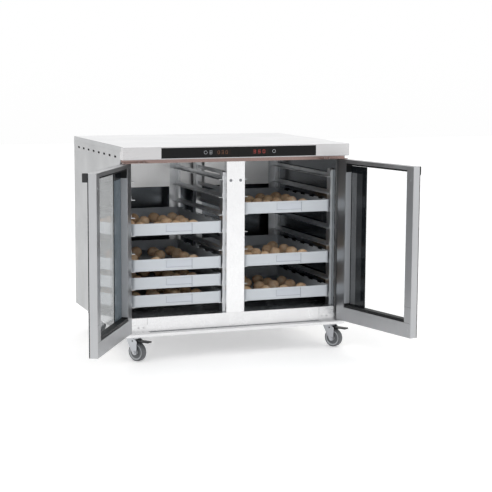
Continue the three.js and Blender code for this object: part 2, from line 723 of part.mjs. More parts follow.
// The braked fork has a hole through both legs for its pedal's pin.
function casterFork(braked) {
  const half = FORK_GAP / 2;
  const crown = rodZ(0, 0, FORK_TOP - 8, FORK_TOP, BEARING_RADIUS + 3, 28);
  const bridge = block(-8, CASTER_TRAIL, -half - FORK_SHEET, half + FORK_SHEET, FORK_TOP - 8, FORK_TOP - 4);
  const legs = [-1, 1].map((side) => {
    const shape = new THREE.Shape();
    shape.moveTo(-12, FORK_TOP - 4);
    shape.lineTo(CASTER_TRAIL - 12, WHEEL_RADIUS - 2);
    shape.absarc(CASTER_TRAIL, WHEEL_RADIUS, 12, Math.PI, 2 * Math.PI);
    shape.lineTo(CASTER_TRAIL + 12, FORK_TOP - 22);
    shape.lineTo(BEARING_RADIUS, FORK_TOP - 4);
    const options = { depth: FORK_SHEET, bevelEnabled: false, curveSegments: 8 };
    const leg = new THREE.ExtrudeGeometry(shape, options);
    leg.rotateX(Math.PI / 2);
    leg.translate(0, side > 0 ? half + FORK_SHEET : -half, 0);
    return solidOf(leg);
  });
  const reach = half + FORK_SHEET + 3;
  const axle = rodY(CASTER_TRAIL, -reach, reach, WHEEL_RADIUS, AXLE_RADIUS, 16);
  const fork = joined(crown, bridge, ...legs, axle);
  if (!braked) return fork;
  return fork.subtract(rodY(PEDAL_PIN_X, -reach, reach, PEDAL_PIN_Z, PEDAL_PIN_RADIUS + GAP, 16));
}

function casterWheel() {
  const w = WHEEL_WIDTH / 2;
  const h = HUB_WIDTH / 2;
  const bore = AXLE_RADIUS + 0.5;
  const outline = [
    [bore, -h],
    [12, -h],
    [12, -w + 3],
    [WHEEL_RADIUS - 11, -w + 3],
    [WHEEL_RADIUS - 9, -w],
    [WHEEL_RADIUS - 3, -w],
    [WHEEL_RADIUS, -w + 4],
    [WHEEL_RADIUS, w - 4],
    [WHEEL_RADIUS - 3, w],
    [WHEEL_RADIUS - 9, w],
    [WHEEL_RADIUS - 11, w - 3],
    [12, w - 3],
    [12, h],
    [bore, h],
    [bore, -h],
  ];
  const geometry = new THREE.LatheGeometry(outline.map(([r, y]) => new THREE.Vector2(r, y)), 24);
  geometry.translate(CASTER_TRAIL, 0, WHEEL_RADIUS);
  return solidOf(geometry);
}

// Brake pedal over the front of the wheel, on a pin between the fork's legs.
function brakePedal() {
  const x0 = PEDAL_PIN_X - 4;
  const half = PEDAL_WIDTH / 2;
  const pin = FORK_GAP / 2 + FORK_SHEET;
  return joined(
    roundedBlock(x0, x0 + PEDAL_LENGTH, -half, half, PEDAL_PIN_Z - 2.5, PEDAL_PIN_Z + 2.5, 5, 4),
    rodY(PEDAL_PIN_X, -pin, pin, PEDAL_PIN_Z, PEDAL_PIN_RADIUS, 16),
  );
}

function addCaster(place_, x, y, braked) {
  const swivel = new THREE.Group();
  swivel.position.set(x, y, 0);
  swivel.rotation.z = THREE.MathUtils.degToRad(CASTER_HEADING);
  cabinet.add(swivel);
  const plate = place(`caster_plate_${place_}`, casterPlate(), ZINC);
  plate.position.set(x, y, 0);
  place(`caster_fork_${place_}`, casterFork(braked), ZINC, swivel);
  place(`caster_wheel_${place_}`, casterWheel(), TREAD, swivel);
  if (braked) place(`brake_pedal_${place_}`, brakePedal(), BLACK_PLASTIC, swivel);
}

// ---- the assembly ----
place("worktop", worktop(), STEEL);
place("fascia", fascia(), STEEL);
const glassRear = CONTROL_GLASS - CONTROL_PROUD;
place("control_glass", controlBox(0, -CONTROL_PROUD, glassRear), BLACK_GLASS);
place("control_board", controlBoard(), BOARD);
place("header_rail", headerRail(), BRIGHT_STEEL);
place("rear_panel", rearPanel(), STEEL);
place("power_inlet", powerInlet(), BLACK_PLASTIC);
place("base_pan", basePan(), BRIGHT_STEEL);
place("floor_pan", floorPan(), BRIGHT_STEEL);
place("liner_rear", linerRear(), CHAMBER_STEEL);
place("liner_roof", linerRoof(), CHAMBER_STEEL);
place("mullion", mullion(), BRIGHT_STEEL);
place("air_hood", hood(), ALUMINIUM);
place("fan_motor", fanMotor(), BLACK_PLASTIC);
place("fan_rotor", fanRotor(), ALUMINIUM);
place("heater_element", heater(), STEEL);
place("water_tray", waterTray(), BRIGHT_STEEL);

const SIDES = [
  ["left", -1],
  ["right", 1],
];
for (const [name, side] of SIDES) {
  place(`side_panel_${name}`, sidePanel(side), STEEL);
  place(`insulation_${name}`, insulation(side), FOAM);
  place(`liner_${name}`, linerSide(side), CHAMBER_STEEL);
  place(`rack_${name}_outer`, rack(side, BOX_OUTER + BOX_SIDE_PLAY, 1), BRIGHT_STEEL);
  place(`rack_${name}_inner`, rack(side, BOX_INNER - BOX_SIDE_PLAY, -1), BRIGHT_STEEL);
  place(`hinge_bracket_${name}_lower`, hingeBracket(side, false), STEEL);
  place(`hinge_bracket_${name}_upper`, hingeBracket(side, true), STEEL);
  const levels = side < 0 ? LEFT_LEVELS : RIGHT_LEVELS;
  levels.forEach((level, k) => place(`dough_box_${name}_${k + 1}`, doughBox(side, level), BOX_PLASTIC));
}
hangDoor("door_left", -1, LEFT_OPEN, 20);
hangDoor("door_right", 1, RIGHT_OPEN, 3);
addCaster("front_left", -CASTER_X, CASTER_FRONT, true);
addCaster("front_right", CASTER_X, CASTER_FRONT, true);
addCaster("rear_left", -CASTER_X, DEPTH - CASTER_REAR, false);
addCaster("rear_right", CASTER_X, DEPTH - CASTER_REAR, false);

// The origin goes to the bottom centre of the whole, as it stands with its doors open.
const proofer = new THREE.Group();
proofer.add(cabinet);
const bounds = new THREE.Box3().setFromObject(proofer);
const middle = bounds.getCenter(new THREE.Vector3());
cabinet.position.set(-middle.x, -middle.y, -bounds.min.z);

export default proofer;
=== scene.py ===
"""Looks of the proofing cabinet: materials, fittings, dough, light and camera around the CAD frame."""

import json
import math
import random

import bmesh
import bpy
from mathutils import Matrix, Vector, noise


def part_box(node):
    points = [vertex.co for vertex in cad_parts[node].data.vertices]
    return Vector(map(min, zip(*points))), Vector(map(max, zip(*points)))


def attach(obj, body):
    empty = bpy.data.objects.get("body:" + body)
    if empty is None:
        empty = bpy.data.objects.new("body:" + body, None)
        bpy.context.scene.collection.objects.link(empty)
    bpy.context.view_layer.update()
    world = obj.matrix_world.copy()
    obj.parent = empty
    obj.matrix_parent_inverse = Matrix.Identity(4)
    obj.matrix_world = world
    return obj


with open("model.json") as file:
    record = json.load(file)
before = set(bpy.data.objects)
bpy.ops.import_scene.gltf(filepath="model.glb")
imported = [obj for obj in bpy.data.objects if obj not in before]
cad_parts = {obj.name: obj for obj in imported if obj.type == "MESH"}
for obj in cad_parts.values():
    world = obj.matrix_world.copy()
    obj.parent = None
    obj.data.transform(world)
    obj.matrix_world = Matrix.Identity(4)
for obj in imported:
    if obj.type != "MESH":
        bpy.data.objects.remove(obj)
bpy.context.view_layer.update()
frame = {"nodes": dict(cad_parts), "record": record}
nodes = frame["nodes"]
joints = {j["name"]: j for j in frame["record"]["behaviour"]["joints"]}
scene = bpy.context.scene

top_low, top_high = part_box("worktop")
MIDDLE = (top_low.x + top_high.x) / 2
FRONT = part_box("fascia")[0].y
HALF = (top_high.x - top_low.x) * 500  # half the cabinet's width, mm
REAR = (top_high.y - FRONT) * 1000  # mm behind the front face
DOOR_EDGE = HALF - 2  # from the middle to the hinge edge of a closed door, mm
DOOR_WIDTH = 506
DOOR_DEPTH = 36
SIGNS = {"left": -1, "right": 1}


def at(x, y, z):
    """A point given in mm from the cabinet's middle, face and floor."""
    return Vector((MIDDLE + x / 1000, FRONT + y / 1000, z / 1000))


# ---- materials ----
def linear(code):
    """A linear colour from a hexadecimal screen colour."""
    channels = [(code >> shift & 255) / 255 for shift in (16, 8, 0)]
    curve = [c / 12.92 if c <= 0.04045 else ((c + 0.055) / 1.055) ** 2.4 for c in channels]
    return (*curve, 1.0)


def scaled(color, k):
    """A colour made k times as bright."""
    return (*(min(1.0, c * k) for c in color[:3]), 1.0)


class Paint:
    """A Principled material with helpers for its node detail."""

    def __init__(self, name, metallic=0.0, roughness=0.5):
        self.material = bpy.data.materials.new(name)
        self.material.use_nodes = True
        self.tree = self.material.node_tree
        self.shader = self.tree.nodes["Principled BSDF"]
        self.shader.inputs["Metallic"].default_value = metallic
        self.shader.inputs["Roughness"].default_value = roughness
        self.coord = self.tree.nodes.new("ShaderNodeTexCoord")
        self.height = None

    def node(self, kind, **settings):
        made = self.tree.nodes.new(kind)
        for key, value in settings.items():
            setattr(made, key, value)
        return made

    def link(self, source, target):
        self.tree.links.new(source, target)

    def noise(self, scale, detail=4.0, stretch=(1, 1, 1), rough=0.5, distortion=0.0):
        """Noise of scale cells a metre, times stretch along each axis."""
        mapping = self.node("ShaderNodeMapping")
        mapping.inputs["Scale"].default_value = stretch
        self.link(self.coord.outputs["Object"], mapping.inputs["Vector"])
        texture = self.node("ShaderNodeTexNoise")
        texture.inputs["Scale"].default_value = scale
        texture.inputs["Detail"].default_value = detail
        texture.inputs["Roughness"].default_value = rough
        texture.inputs["Distortion"].default_value = distortion
        self.link(mapping.outputs["Vector"], texture.inputs["Vector"])
        return texture.outputs["Fac"]

    def span(self, value, low, high, start=0.3, end=0.7):
        """value from start..end spread over low..high."""
        made = self.node("ShaderNodeMapRange")
        made.inputs["From Min"].default_value = start
        made.inputs["From Max"].default_value = end
        made.inputs["To Min"].default_value = low
        made.inputs["To Max"].default_value = high
        self.link(value, made.inputs["Value"])
        return made.outputs["Result"]

    def ramp(self, value, stops):
        """The colour at value on a ramp of (place, colour) stops."""
        made = self.node("ShaderNodeValToRGB")
        elements = made.color_ramp.elements
        while len(elements) < len(stops):
            elements.new(0.5)
        for element, (place, color) in zip(elements, stops):
            element.position = place
            element.color = color
        self.link(value, made.inputs["Fac"])
        return made.outputs["Color"]

    def mix(self, factor, a, b):
        """Colour a turned into colour b by factor."""
        made = self.node("ShaderNodeMix", data_type="RGBA")
        for socket, value in ((made.inputs[0], factor), (made.inputs[6], a), (made.inputs[7], b)):
            if isinstance(value, bpy.types.NodeSocket):
                self.link(value, socket)
            else:
                socket.default_value = value
        return made.outputs[2]

    def color(self, value):
        self.link(value, self.shader.inputs["Base Color"])

    def roughness(self, value):
        self.link(value, self.shader.inputs["Roughness"])

    def bump(self, value, strength, distance):
        """A bump from value, on top of the bumps made before."""
        made = self.node("ShaderNodeBump")
        made.inputs["Strength"].default_value = strength
        made.inputs["Distance"].default_value = distance
        self.link(value, made.inputs["Height"])
        if self.height is not None:
            self.link(self.height, made.inputs["Normal"])
        self.height = made.outputs["Normal"]
        self.link(self.height, self.shader.inputs["Normal"])


GRAIN = {"x": (2, 220, 220), "y": (220, 2, 220), "z": (220, 220, 2)}
FINE = 0.0004  # bump distance of a surface's own texture, m


def steel(name, code, rough, grain="x", depth=0.05, smudge=0.1, shade=0.06, side_shade_code=None):
    """Brushed sheet steel: fine lines along the grain, cloudy handling marks and small dents.
    The optional side colour is painted shade: it darkens the faces turned to the left and right."""
    color = linear(code)
    paint = Paint(name, metallic=1.0, roughness=rough)
    lines = paint.noise(scale=9, detail=3, stretch=GRAIN[grain])
    clouds = paint.noise(scale=5, detail=5, rough=0.6, distortion=0.4)
    marks = paint.noise(scale=38, detail=6, rough=0.7)
    base = paint.ramp(lines, [(0.3, scaled(color, 1 - shade)), (0.7, scaled(color, 1 + shade))])
    whole = paint.mix(paint.span(clouds, 0.0, 0.5), base, scaled(color, 0.92))
    # painted shade: faces turned to the left and right are darkened towards the side colour
    if side_shade_code is not None:
        facing = paint.node("ShaderNodeSeparateXYZ")
        paint.link(paint.coord.outputs["Normal"], facing.inputs["Vector"])
        sideways = paint.node("ShaderNodeMath", operation="ABSOLUTE")
        paint.link(facing.outputs["X"], sideways.inputs[0])
        turned = paint.span(sideways.outputs[0], 0.0, 1.0, start=0.6, end=0.9)
        whole = paint.mix(turned, whole, linear(side_shade_code))
    paint.color(whole)
    fine = paint.span(lines, rough - 0.03, rough + 0.04)
    cloudy = paint.span(clouds, -smudge / 2, smudge)
    both = paint.node("ShaderNodeMath", operation="ADD", use_clamp=True)
    paint.link(fine, both.inputs[0])
    paint.link(cloudy, both.inputs[1])
    paint.roughness(both.outputs[0])
    paint.bump(lines, depth, FINE)
    paint.bump(marks, depth / 6, 0.0003)
    return paint.material


def plastic(name, code, rough, spread=0.08, grain=260, depth=0.12, wear=None):
    """Moulded plastic with a fine grain, faint colour drift and scuffs."""
    color = linear(code)
    paint = Paint(name, roughness=rough)
    cloud = paint.noise(scale=7, detail=5, rough=0.6)
    scuff = paint.noise(scale=46, detail=8, stretch=(1, 3, 1), rough=0.75, distortion=1.2)
    base = paint.ramp(cloud, [(0.3, scaled(color, 1 - spread)), (0.7, scaled(color, 1 + spread / 2))])
    worn = linear(wear) if wear is not None else scaled(color, 1.15)
    paint.color(paint.mix(paint.span(scuff, 0.0, 0.35, start=0.6, end=0.8), base, worn))
    paint.roughness(paint.span(cloud, rough - 0.05, rough + 0.1))
    paint.bump(paint.noise(scale=grain, detail=3), depth, FINE)
    paint.bump(scuff, depth / 3, FINE)
    return paint.material


def pane(name, code, clear, rough=0.02):
    """A thin sheet of glass: clear face on, mirror-like at a glancing angle, with faint wiping marks."""
    paint = Paint(name, metallic=0.9, roughness=rough)
    wipe = paint.noise(scale=6, detail=6, stretch=(1, 1, 3), rough=0.65, distortion=1.5)
    paint.color(paint.ramp(wipe, [(0.3, scaled(linear(code), 0.9)), (0.7, linear(code))]))
    paint.roughness(paint.span(wipe, rough, rough + 0.05))
    see = paint.node("ShaderNodeBsdfTransparent")
    see.inputs["Color"].default_value = (0.985, 0.99, 0.99, 1.0)
    facing = paint.node("ShaderNodeLayerWeight")
    power = paint.node("ShaderNodeMath", operation="POWER")
    power.inputs[1].default_value = 4.5  # a higher power keeps the sheet clear for longer as it turns
    paint.link(facing.outputs["Facing"], power.inputs[0])
    share = paint.span(power.outputs[0], 1 - clear, 0.9, start=0.0, end=1.0)
    mixed = paint.node("ShaderNodeMixShader")
    paint.link(share, mixed.inputs["Fac"])
    paint.link(see.outputs["BSDF"], mixed.inputs[1])
    paint.link(paint.shader.outputs["BSDF"], mixed.inputs[2])
    output = paint.tree.nodes["Material Output"]
    paint.link(mixed.outputs["Shader"], output.inputs["Surface"])
    return paint.material


def seal_paint(low, high):
    """A window surround: black rubber below low and above high, a grey trim between."""
    paint = Paint("door_seal", roughness=0.3)
    paint.shader.inputs["Specular IOR Level"].default_value = 0.25
    split = paint.node("ShaderNodeSeparateXYZ")
    paint.link(paint.coord.outputs["Object"], split.inputs["Vector"])
    height = paint.span(split.outputs["Z"], 0.0, 1.0, start=0.0, end=1.0)
    black, trim = linear(0x08090A), linear(0x9A9DA1)
    color = paint.ramp(height, [(0.0, black), (low, trim), (high, black)])
    color.node.color_ramp.interpolation = "CONSTANT"
    dust = paint.noise(scale=80, detail=6, stretch=(1, 1, 0.3), rough=0.7)
    paint.color(paint.mix(paint.span(dust, 0.0, 0.06), color, linear(0x54585C)))
    paint.roughness(paint.span(dust, 0.4, 0.6))
    paint.bump(paint.noise(scale=400, detail=3, stretch=(1, 1, 0.2)), 0.08, FINE)
    return paint.material


def gloss(name, code, rough=0.06, spread=0.2):
    """Glossy painted or printed glass with finger marks."""
    color = linear(code)
    paint = Paint(name, roughness=rough)
    prints = paint.noise(scale=60, detail=6, rough=0.7, distortion=0.8)
    paint.color(paint.ramp(prints, [(0.35, scaled(color, 1 - spread)), (0.65, scaled(color, 1 + spread))]))
    paint.roughness(paint.span(prints, rough, rough + 0.08, start=0.45, end=0.75))
    paint.bump(paint.noise(scale=14, detail=3), 0.02, 0.0005)
    paint.shader.inputs["Specular IOR Level"].default_value = 0.2
    return paint.material


def glow(name, code, strength):
    """A lit display segment, a little uneven."""
    paint = Paint(name, roughness=0.3)
    fade = paint.noise(scale=90, detail=3)
    tint = paint.ramp(fade, [(0.3, scaled(linear(code), 0.7)), (0.7, linear(code))])
    paint.color(tint)
    paint.link(tint, paint.shader.inputs["Emission Color"])
    paint.shader.inputs["Emission Strength"].default_value = strength
    return paint.material


def dough_skin():
    """Proofed dough: tan skin, patches of paler flour dust, fine pores."""
    paint = Paint("dough", roughness=0.62)
    cloud = paint.noise(scale=34, detail=6, rough=0.6, distortion=0.5)
    pores = paint.noise(scale=420)
    flour = paint.noise(scale=120, detail=8, rough=0.7)
    base = paint.ramp(cloud, [
        (0.25, linear(0xC79B74)), (0.5, linear(0xDFBA93)), (0.75, linear(0xEFD8BC)),
    ])
    floured = paint.span(flour, 0.0, 0.6, start=0.5, end=0.75)
    paint.color(paint.mix(floured, base, linear(0xEFE0C8)))
    paint.shader.inputs["Subsurface Weight"].default_value = 0.12
    paint.shader.inputs["Subsurface Radius"].default_value = (0.006, 0.004, 0.002)
    paint.roughness(paint.span(flour, 0.5, 0.8))
    paint.bump(cloud, 0.25, 0.002)
    paint.bump(pores, 0.2, 0.0006)
    return paint.material


def wool():
    """Mineral wool board: matted fibres."""
    paint = Paint("insulation_board", roughness=0.95)
    fibres = paint.noise(scale=70, detail=10, stretch=(1, 3, 1), rough=0.8, distortion=2.0)
    paint.color(paint.ramp(fibres, [(0.3, linear(0x8C7B45)), (0.7, linear(0xD8C98A))]))
    paint.bump(fibres, 0.6, 0.002)
    return paint.material


def wheel_paint(name, centre, axis):
    """Pale hub, dark disc, pale ring and grey tread, by distance from the axle."""
    paint = Paint(name, roughness=0.5)
    shift = paint.node("ShaderNodeVectorMath", operation="SUBTRACT")
    shift.inputs[1].default_value = centre
    paint.link(paint.coord.outputs["Object"], shift.inputs[0])
    cross = paint.node("ShaderNodeVectorMath", operation="CROSS_PRODUCT")
    cross.inputs[1].default_value = axis
    paint.link(shift.outputs["Vector"], cross.inputs[0])
    length = paint.node("ShaderNodeVectorMath", operation="LENGTH")
    paint.link(cross.outputs["Vector"], length.inputs[0])
    wheel_radius = 0.04
    share = paint.span(length.outputs["Value"], 0.0, 1.0, start=0.0, end=wheel_radius)
    rings = paint.ramp(share, [
        (0.0, linear(0xC9CBCD)), (0.28, linear(0xB9BBBD)), (0.32, linear(0x4A4C4F)),
        (0.66, linear(0x515356)), (0.72, linear(0xA4A7AA)), (0.8, linear(0xA9ACAF)), (0.86, linear(0x505255)),
    ])
    dust = paint.noise(scale=55, detail=7, rough=0.7)
    paint.color(paint.mix(paint.span(dust, 0.0, 0.16), rings, linear(0x8B8C8C)))
    paint.roughness(paint.span(dust, 0.42, 0.7))
    paint.bump(paint.noise(scale=300, detail=3), 0.15, FINE)
    return paint.material


BAND_LOW, BAND_HIGH = 205, 783  # mm, foot and top of the coloured bands and of the trim beside them

PANEL = steel("panel_steel", 0xADAEAF, 0.34, "z", depth=0.05)
# the worktop's side lips get painted shade through the side colour
TOP = steel("worktop_steel", 0xEEEEEF, 0.42, "x", depth=0.04, side_shade_code=0xB4B5B6)
FASCIA = steel("fascia_steel", 0xC6C5C6, 0.3, "x", depth=0.05)
BRIGHT = steel("bright_steel", 0xE6E6E7, 0.24, "z", depth=0.03)
BRIGHT_WIDE = steel("bright_steel_wide", 0xDFDFE0, 0.26, "x", depth=0.03)
DOOR_STEEL = steel("door_steel", 0xB2B3B5, 0.36, "z", depth=0.03)
# the dark brownish colour of the header rail and the upper hinge brackets is painted shade under the fascia
UNDER_FASCIA_SHADE = steel("under_fascia_shaded_steel", 0x8F7B76, 0.16, "x", depth=0.02)
SCREW = steel("screw_steel", 0x85878A, 0.3, "z", depth=0.05)
RACK = steel("rack_steel", 0xD6D8DA, 0.34, "y", depth=0.03)
# the liner and the heater element are painted dark as painted shade inside the chamber
CHAMBER_SHADE = steel("chamber_steel", 0x666A6E, 0.2, "z", depth=0.03, smudge=0.06)
HOOD = steel("hood_aluminium", 0xF4F4F4, 0.36, "z", depth=0.04)
ZINC = steel("zinc_plate", 0xBBBDC1, 0.3, "z", depth=0.08, smudge=0.15, shade=0.12)
BLACK = plastic("black_plastic", 0x141517, 0.45, wear=0x2C2E31)
BOARD = plastic("circuit_board", 0x14502E, 0.4, grain=120)
BOX = plastic("box_plastic", 0xBCC1C6, 0.42, spread=0.04, grain=300, depth=0.06, wear=0xC8CCD0)
BOX_LABEL = plastic("box_label", 0xBABFC6, 0.34, spread=0.04, grain=300, depth=0.04, wear=0xC4C8CE)
# darker grey for the lines round a recessed label: painted shade of the recess's step
BOX_LABEL_SHADE = plastic("box_label_shade", 0x868C96, 0.4, spread=0.04, grain=300, depth=0.04, wear=0xA8AEB6)
GLASS = pane("door_glass", 0xF2F4F5, clear=0.975)
CONTROL = gloss("control_glass", 0x060607, 0.08)
BAND_DARK = gloss("band_dark", 0x15181B, 0.1)
BAND_BLUE = gloss("band_blue", 0x566067, 0.14, spread=0.12)
BAND_GREY = gloss("band_grey", 0x5A5C5E, 0.16, spread=0.1)
BAND_SMOKE = gloss("band_smoke", 0x303234, 0.14, spread=0.1)
AMBER = glow("display_amber", 0x5A3418, 0.1)
RED = glow("display_red", 0x8A2A24, 0.25)
ICON = glow("icon_white", 0x9A9DA0, 0.15)
SMOKED = gloss("display_window", 0x140D0B, 0.12)
DOUGH = dough_skin()
WOOL = wool()
SEAL = seal_paint(BAND_LOW / 1000, BAND_HIGH / 1000)


# ---- mesh helpers ----
EDGE_SEGMENTS = 2


def mesh_object(name, mesh, material):
    made = bpy.data.objects.new(name, mesh)
    scene.collection.objects.link(made)
    mesh.materials.append(material)
    return made


def bevelled(made, width):
    """Rounds a piece's edges by width in mm."""
    edge = made.modifiers.new("edges", "BEVEL")
    edge.width = width / 1000
    edge.segments = EDGE_SEGMENTS
    edge.limit_method = "ANGLE"
    return edge


def settle(name, bm, material, bevel, body, matrix=None):
    """One piece from a mesh, riding on a body."""
    if matrix is not None:
        bmesh.ops.transform(bm, matrix=matrix, verts=bm.verts)
    bmesh.ops.recalc_face_normals(bm, faces=bm.faces)
    mesh = bpy.data.meshes.new(name)
    bm.to_mesh(mesh)
    bm.free()
    made = mesh_object(name, mesh, material)
    if bevel:
        bevelled(made, bevel)
    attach(made, body)
    return made


def solid(name, boxes, material, bevel, body="cabinet", matrix=None):
    """Bevelled bars and plates, each (x0, x1, y0, y1, z0, z1) in mm, as one piece."""
    bm = bmesh.new()
    for x0, x1, y0, y1, z0, z1 in boxes:
        made = bmesh.ops.create_cube(bm, size=1.0)
        low, high = at(x0, y0, z0), at(x1, y1, z1)
        bmesh.ops.scale(bm, vec=high - low, verts=made["verts"])
        bmesh.ops.translate(bm, vec=(low + high) / 2, verts=made["verts"])
    return settle(name, bm, material, bevel, body, matrix)


def lathe(bm, profile, centre, direction, sides):
    """A turned shape: profile of (radius, height) in mm about centre along direction."""
    turn = Vector((0, 0, 1)).rotation_difference(Vector(direction)).to_matrix().to_4x4()
    place = Matrix.Translation(centre) @ turn
    rings = []
    for radius, height in profile:
        ring = []
        for k in range(sides):
            angle = 2 * math.pi * k / sides
            point = Vector((radius * math.cos(angle), radius * math.sin(angle), height)) / 1000
            ring.append(bm.verts.new(place @ point))
        rings.append(ring)
    for low, high in zip(rings, rings[1:]):
        for k in range(sides):
            n = (k + 1) % sides
            bm.faces.new((low[k], low[n], high[n], high[k]))
    bm.faces.new(reversed(rings[0]))
    bm.faces.new(rings[-1])


def screws(name, spots, direction, radius, height, material, body="cabinet", matrix=None):
    """Domed heads with a shallow hollow in the middle."""
    bm = bmesh.new()
    r, h = radius, height
    dome = [(r, 0), (r, h * 0.35), (r * 0.86, h * 0.8), (r * 0.55, h), (r * 0.42, h), (r * 0.36, h * 0.45)]
    for spot in spots:
        lathe(bm, dome, spot, direction, sides=20)
    return settle(name, bm, material, 0, body, matrix)


# ---- CAD nodes ----
LOOKS = [
    ("worktop", TOP), ("fascia", FASCIA), ("control_glass", CONTROL), ("control_board", BOARD),
    ("header_rail", UNDER_FASCIA_SHADE), ("rear_panel", PANEL), ("power_inlet", BLACK), ("base_pan", BRIGHT_WIDE),
    ("floor_pan", BRIGHT_WIDE), ("liner", CHAMBER_SHADE), ("mullion", BRIGHT), ("air_hood", HOOD),
    ("fan_motor", BLACK), ("fan_rotor", HOOD), ("heater_element", CHAMBER_SHADE), ("water_tray", BRIGHT_WIDE),
    ("side_panel", PANEL), ("insulation", WOOL), ("rack", RACK), ("hinge_bracket_left_upper", UNDER_FASCIA_SHADE),
    ("hinge_bracket_right_upper", UNDER_FASCIA_SHADE), ("hinge_bracket", BRIGHT_WIDE), ("dough_box", BOX),
    ("brake_pedal", BLACK), ("caster_plate", ZINC), ("caster_fork", ZINC),
]
DOOR_LOOKS = [("frame", DOOR_STEEL), ("glass", GLASS), ("seal", SEAL), ("corner_cap", BLACK)]
PLAIN_EDGE = 0.5  # mm
SOFT_EDGES = {"worktop": 1.2, "dough_box": 0.9, "brake_pedal": 1.2, "mullion": 1.5}  # mm
FLAT_ANGLE = math.radians(40)  # a fold less sharp than this stays unbevelled


def look_of(name):
    """The material of a CAD node."""
    if name.startswith("door_"):
        return next(material for part, material in DOOR_LOOKS if name.endswith(part))
    if name.startswith("caster_wheel"):
        place = name.removeprefix("caster_wheel_")
        roll = joints[f"wheel_{place}_roll"]
        return wheel_paint(name + "_tread", roll["pos_m"], roll["axis"])
    return next(material for part, material in LOOKS if name.startswith(part))


for name, node in nodes.items():
    node.data.materials.clear()
    node.data.materials.append(look_of(name))
    width = next((w for part, w in SOFT_EDGES.items() if name.startswith(part)), PLAIN_EDGE)
    bevelled(node, width).angle_limit = FLAT_ANGLE


# ---- doors ----
# In mm along a door from its hinge edge, back from its front face when closed, and up from the floor.
GLASS_FOOT, GLASS_TOP = 129.2, 839.8
GLASS_END = DOOR_WIDTH - 0.2
PRINT = (0.4, 3.8)  # depths of the printed border, inside the front glass
PRINT_START, PRINT_END = 53, GLASS_END - 36  # the clear window between the border's sides
PRINT_LOW, PRINT_HIGH = GLASS_FOOT + 55, GLASS_TOP - 12
BACKING = (4.6, 8)  # depths of the dark sheet between the front glass and the bands
BANDS = (8, 10)  # depths of the bands
BAND_END = 163
BAND_SPANS = ((66, 99), (100, 137), (138, BAND_END))
BAND_PAINTS = {"left": (BAND_BLUE, BAND_BLUE, BAND_BLUE), "right": (BAND_GREY, BAND_SMOKE, BAND_DARK)}
SEAM_HEIGHTS = (189.6, 257)  # joints in the frame's free stile
DOOR_SCREWS = ((488, 783), (489, 161), (14, 161))


def door_matrix(side):
    """From a closed door to the door as stored."""
    joint = joints[f"door_{side}_hinge"]
    pivot = Matrix.Translation(Vector(joint["pos_m"]))
    angle = -math.radians(joint["range_deg"][0])
    return pivot @ Matrix.Rotation(angle, 4, Vector(joint["axis"])) @ pivot.inverted()


def door_piece(side, part, boxes, material, bevel):
    """Boxes given as (s0, s1, d0, d1, z0, z1): from the hinge edge, from the front face, up."""
    placed = []
    for s0, s1, d0, d1, z0, z1 in boxes:
        xs = sorted((SIGNS[side] * (DOOR_EDGE - s0), SIGNS[side] * (DOOR_EDGE - s1)))
        placed.append((*xs, d0, d1, z0, z1))
    return solid(f"door_{side}_{part}", placed, material, bevel, f"door_{side}", door_matrix(side))


for side, sign in SIGNS.items():
    backing = (58, BAND_END + 1, *BACKING, BAND_LOW - 2, BAND_HIGH + 30)
    door_piece(side, "band_back", [backing], BAND_DARK, 0.3)
    border = [
        (0.2, PRINT_START, *PRINT, GLASS_FOOT, GLASS_TOP),
        (PRINT_END, GLASS_END, *PRINT, GLASS_FOOT, GLASS_TOP),
        (PRINT_START, PRINT_END, *PRINT, GLASS_FOOT, PRINT_LOW),
        (PRINT_START, PRINT_END, *PRINT, PRINT_HIGH, GLASS_TOP),
    ]
    door_piece(side, "printed_border", border, BAND_DARK, 0)
    for (s0, s1), material, mark in zip(BAND_SPANS, BAND_PAINTS[side], "abc"):
        band = (s0, s1, *BANDS, BAND_LOW, BAND_HIGH)
        door_piece(side, f"band_{mark}", [band], material, 0.5)
    seams = [(DOOR_WIDTH - 42, DOOR_WIDTH - 0.5, DOOR_DEPTH - 0.1, DOOR_DEPTH + 0.1, z, z + 0.9)
             for z in SEAM_HEIGHTS]
    door_piece(side, "seams", seams, BLACK, 0)
    spots = [at(sign * (DOOR_EDGE - s), DOOR_DEPTH - 0.2, z) for s, z in DOOR_SCREWS]
    screws(f"door_{side}_screws", spots, (0, 1, 0), 4, 1.2, ZINC, f"door_{side}", door_matrix(side))


# ---- dough boxes and dough ----
FOOT = 0.72  # a ball's flat foot below its centre, as a share of its radius
BALL_RADII = (0.0245, 0.0275)  # m
BALL_START = (0.055, 0.11)  # m from a box's corner to its first ball
BALL_STEP = (0.084, 0.1)  # m
ROWS = 4
GAPS = 0.12  # chance that a place holds no ball
BOX_FLOOR = 0.0036  # m above a box's foot, just clear of its floor
SEED = 41
LABEL_SHARES = (0.37, 0.66)  # the label's ends across a box
LABEL_FOOT, LABEL_TOP = 13, 41  # mm above a box's foot
LINE = 1.4  # mm, width of the lines on a box's face
SINK = 0.2  # mm that a mark reaches into its face


def ball(bm, centre, radius, seed):
    """A slumped dough ball with a flat foot."""
    rng = random.Random(seed)
    wide = 1 + rng.uniform(-0.05, 0.07)
    tall = 0.92 + rng.uniform(-0.06, 0.05)
    drift = Vector([rng.uniform(-40, 40) for _ in range(3)])
    made = bmesh.ops.create_icosphere(bm, subdivisions=4, radius=1.0)
    for vert in made["verts"]:
        p = vert.co.copy()
        lump = noise.noise(p * 1.3 + drift) * 0.06 + noise.noise(p * 3.5 + drift) * 0.02
        p *= radius * (1 + lump)
        p.x *= wide
        p.z *= tall
        p.z = max(p.z, -radius * FOOT)
        vert.co = centre + p


